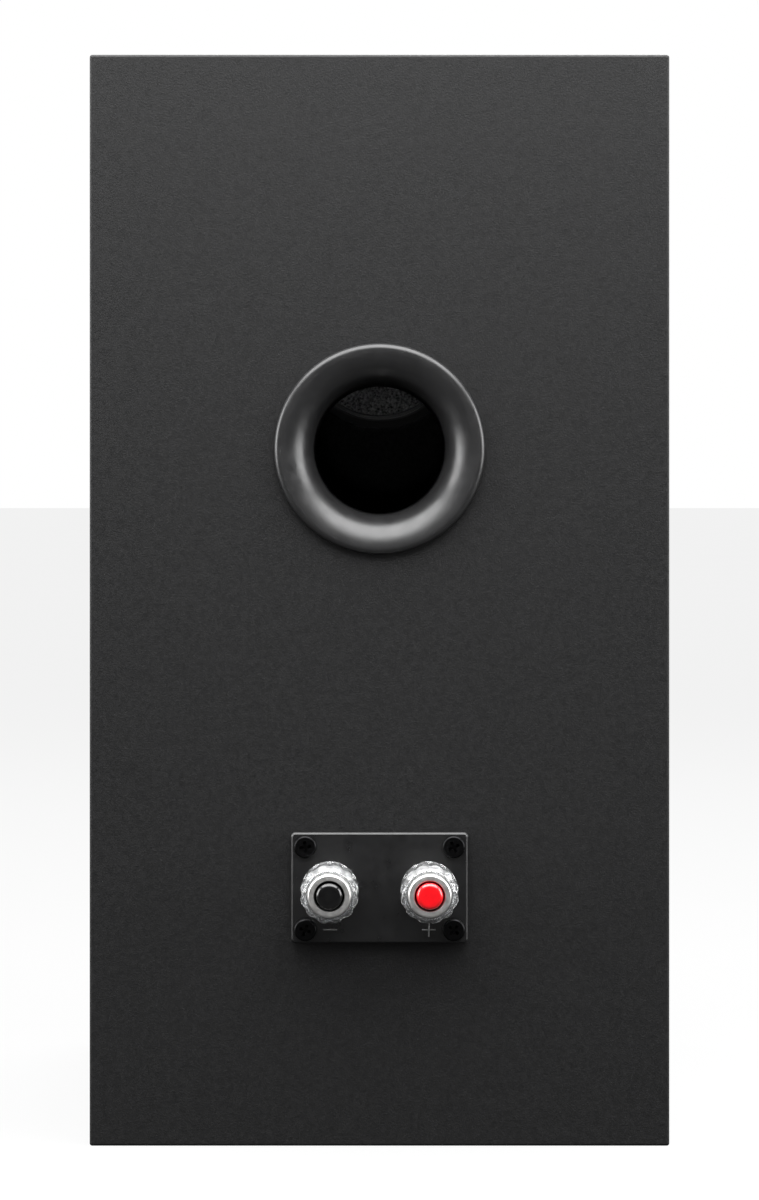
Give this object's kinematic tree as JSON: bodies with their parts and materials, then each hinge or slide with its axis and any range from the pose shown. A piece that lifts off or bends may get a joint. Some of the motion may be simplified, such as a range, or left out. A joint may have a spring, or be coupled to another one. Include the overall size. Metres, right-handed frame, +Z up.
{
  "type": "bookshelf speaker",
  "caption": "Compact rear-ported two-way bookshelf speaker with a flared port and clear-capped binding posts on a screwed terminal plate.",
  "frame": {"origin": "bottom centre of the whole object's box, on the surface it stands on", "axes": "+Z up, front baffle faces -Y, rear port and terminals face +Y, +X to the right seen from the front"},
  "size_m": [0.178, 0.2606, 0.335],
  "materials": {
    "vinyl_black": "textured black vinyl wrap over MDF",
    "mdf_raw": "bare MDF",
    "felt_dark": "dense dark felt",
    "felt_grey": "speckled grey wool felt",
    "port_plastic": "satin black moulding",
    "foam_seal": "closed-cell foam",
    "plate_plastic": "fine matt black moulding",
    "screw_black": "black oxide",
    "screw_zinc": "zinc plate",
    "bush_plastic": "black nylon",
    "post_nickel": "satin nickel plate",
    "clear_plastic": "clear moulding",
    "stopper_black": "gloss black moulding",
    "stopper_red": "gloss red moulding",
    "tag_brass": "tinned brass",
    "copper_wire": "enamelled copper",
    "ferrite": "ground ferrite",
    "board_fibre": "solder-masked board",
    "spacer_nylon": "natural nylon",
    "film_yellow": "yellow film wrap",
    "can_black": "black shrink sleeve",
    "resistor_white": "white cement",
    "basket_black": "satin black powder coat",
    "surround_rubber": "soft matt rubber",
    "cone_pulp": "coated pulp",
    "dust_cap_black": "satin cap",
    "spider_cloth": "treated cloth",
    "plate_steel": "zinc-plated steel",
    "faceplate_plastic": "fine matt black moulding",
    "dome_silk": "coated silk",
    "strip_fibre": "phenolic strip and tinned blades",
    "lead_red": "red insulation",
    "lead_black": "black insulation"
  },
  "bodies": {
    "cabinet": {"left_side_panel": "vinyl_black", "right_side_panel": "vinyl_black", "top_panel": "vinyl_black", "bottom_panel": "vinyl_black", "rear_panel": "vinyl_black", "front_baffle": "vinyl_black", "window_brace": "mdf_raw", "wall_wadding": "felt_dark", "grille_peg_sockets": "bush_plastic", "port_flare": "port_plastic", "port_tube": "port_plastic", "port_gasket": "foam_seal", "terminal_plate": "plate_plastic", "terminal_gasket": "foam_seal", "terminal_screws": "screw_black", "post_bushes": "clear_plastic", "post_inner_washers": "bush_plastic", "post_nuts": "screw_zinc", "solder_tags": "tag_brass", "woofer_basket": "basket_black", "woofer_gasket": "foam_seal", "woofer_screws": "screw_black", "woofer_surround": "surround_rubber", "woofer_spider": "spider_cloth", "woofer_top_plate": "plate_steel", "woofer_magnet": "ferrite", "woofer_back_plate": "plate_steel", "tweeter_faceplate": "faceplate_plastic", "tweeter_screws": "screw_black", "tweeter_surround": "dome_silk", "tweeter_top_plate": "plate_steel", "tweeter_magnet": "ferrite", "tweeter_back_plate": "plate_steel", "tweeter_felt_pad": "felt_grey", "driver_tabs": "strip_fibre", "crossover_board": "board_fibre", "crossover_spacers": "spacer_nylon", "crossover_screws": "screw_zinc", "inductor_windings": "copper_wire", "inductor_core": "ferrite", "film_capacitors": "film_yellow", "electrolytic_capacitor": "can_black", "resistors": "resistor_white", "leads_red": "lead_red", "leads_black": "lead_black", "minus_post_stud": "post_nickel", "plus_post_stud": "post_nickel"},
    "woofer_moving_group": {"woofer_cone": "cone_pulp", "woofer_dust_cap": "dust_cap_black", "woofer_voice_coil": "copper_wire"},
    "tweeter_moving_group": {"tweeter_dome": "dome_silk", "tweeter_voice_coil": "copper_wire"},
    "minus_clamp": {"minus_clamp_washer": "post_nickel"},
    "minus_cap": {"minus_cap_core": "post_nickel", "minus_cap_jacket": "clear_plastic"},
    "minus_plug": {"minus_stopper": "stopper_black"},
    "plus_clamp": {"plus_clamp_washer": "post_nickel"},
    "plus_cap": {"plus_cap_core": "post_nickel", "plus_cap_jacket": "clear_plastic"},
    "plus_plug": {"plus_stopper": "stopper_red"}
  },
  "joints": [
    {"name": "woofer_excursion", "type": "slide", "parent": "cabinet", "child": "woofer_moving_group", "axis": [0, -1, 0], "range_m": [-0.004, 0.004], "stiffness_N_per_m": 1000, "deforming": ["woofer_surround", "woofer_spider"]},
    {"name": "tweeter_excursion", "type": "slide", "parent": "cabinet", "child": "tweeter_moving_group", "axis": [0, -1, 0], "range_m": [-0.0003, 0.0003], "stiffness_N_per_m": 500, "deforming": ["tweeter_surround"]},
    {"name": "minus_clamp_travel", "type": "slide", "parent": "cabinet", "child": "minus_clamp", "axis": [0, 1, 0], "range_m": [0, 0.0061]},
    {"name": "minus_cap_turn", "type": "hinge", "parent": "minus_clamp", "child": "minus_cap", "pos_m": [0.0151, 0.1205, 0.0796], "axis": [0, 1, 0], "range_deg": [0, 2160]},
    {"name": "minus_stopper_pull", "type": "slide", "parent": "minus_cap", "child": "minus_plug", "axis": [0, 1, 0], "range_m": [0, 0.06]},
    {"name": "plus_clamp_travel", "type": "slide", "parent": "cabinet", "child": "plus_clamp", "axis": [0, 1, 0], "range_m": [0, 0.0061]},
    {"name": "plus_cap_turn", "type": "hinge", "parent": "plus_clamp", "child": "plus_cap", "pos_m": [-0.0151, 0.1205, 0.0796], "axis": [0, 1, 0], "range_deg": [0, 2160]},
    {"name": "plus_stopper_pull", "type": "slide", "parent": "plus_cap", "child": "plus_plug", "axis": [0, 1, 0], "range_m": [0, 0.06]}
  ],
  "couplings": [
    {"joint": "minus_clamp_travel", "follows": "minus_cap_turn", "m_per_rad": 0.00015915},
    {"joint": "plus_clamp_travel", "follows": "plus_cap_turn", "m_per_rad": 0.00015915}
  ]
}
